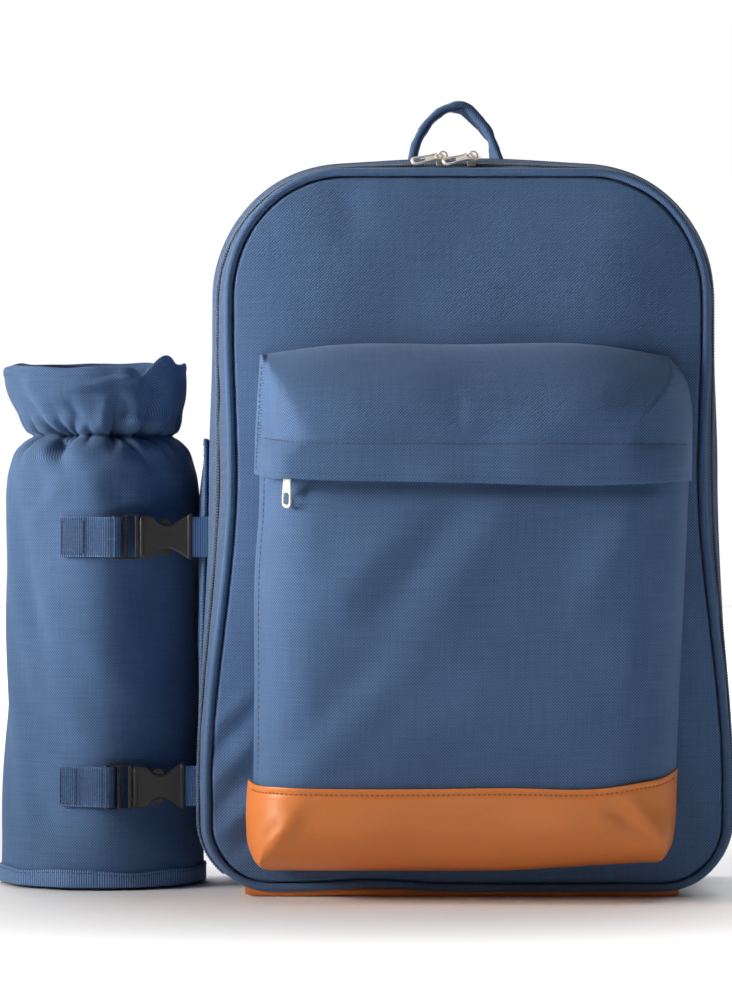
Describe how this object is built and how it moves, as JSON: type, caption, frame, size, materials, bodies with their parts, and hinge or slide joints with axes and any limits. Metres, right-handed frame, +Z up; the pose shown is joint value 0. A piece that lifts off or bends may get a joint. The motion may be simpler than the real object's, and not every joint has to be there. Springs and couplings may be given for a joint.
{
  "type": "picnic backpack",
  "caption": "Soft zipped backpack with a hooded front pocket, leather base, padded shoulder straps and a gathered bottle pouch buckled to its side.",
  "frame": {"origin": "middle of the flat underside of the leather base, below the middle of the bag's body", "axes": "+Z up, -Y out of the front panel, +X to the right seen from the front, with the pouch on -X"},
  "size_m": [0.4145, 0.2474, 0.4435],
  "materials": {
    "cloth": "woven canvas",
    "trim": "ribbed webbing and tape",
    "leather": "smooth, matt",
    "nickel": "nickel plated, satin",
    "plastic": "moulded, satin"
  },
  "bodies": {
    "bag": {"front_panel": "cloth", "piping": "trim", "zip_tape": "trim", "zip_coil": "trim", "lid_hinge": "cloth", "gusset": "cloth", "base_panel": "leather", "back_panel": "cloth", "handle": "cloth", "side_pocket": "cloth", "pocket_body": "cloth", "pocket_hood": "cloth", "pocket_zip": "trim", "pocket_coil": "trim", "pocket_leather": "leather", "pouch_wall": "cloth", "pouch_floor": "cloth", "pouch_hem": "trim", "pouch_strap_upper": "trim", "buckle_male_upper": "plastic", "buckle_female_upper": "plastic", "bag_strap_upper": "trim", "pouch_strap_lower": "trim", "buckle_male_lower": "plastic", "buckle_female_lower": "plastic", "bag_strap_lower": "trim", "slider_left": "nickel", "slider_right": "nickel", "slider_pocket": "nickel", "shoulder_strap_left": "cloth", "strap_webbing_left": "trim", "strap_tab_left": "leather", "shoulder_strap_right": "cloth", "strap_webbing_right": "trim", "strap_tab_right": "leather"},
    "left_pull": {"pull_left": "nickel"},
    "right_pull": {"pull_right": "nickel"},
    "pocket_pull": {"pull_pocket": "nickel"}
  },
  "joints": [
    {"name": "left_pull_hinge", "type": "hinge", "parent": "bag", "child": "left_pull", "pos_m": [-0.011, -0.0608, 0.40229], "axis": [-0.454, 0.7821, 0.427], "range_deg": [0, 165]},
    {"name": "right_pull_hinge", "type": "hinge", "parent": "bag", "child": "right_pull", "pos_m": [0.0055, -0.0608, 0.40229], "axis": [-0.5, 0.7601, 0.415], "range_deg": [0, 165]},
    {"name": "pocket_pull_swing", "type": "hinge", "parent": "bag", "child": "pocket_pull", "pos_m": [-0.09476, -0.11973, 0.23158], "axis": [-0.6129, -0.782, -0.1131], "range_deg": [-35, 35]}
  ]
}
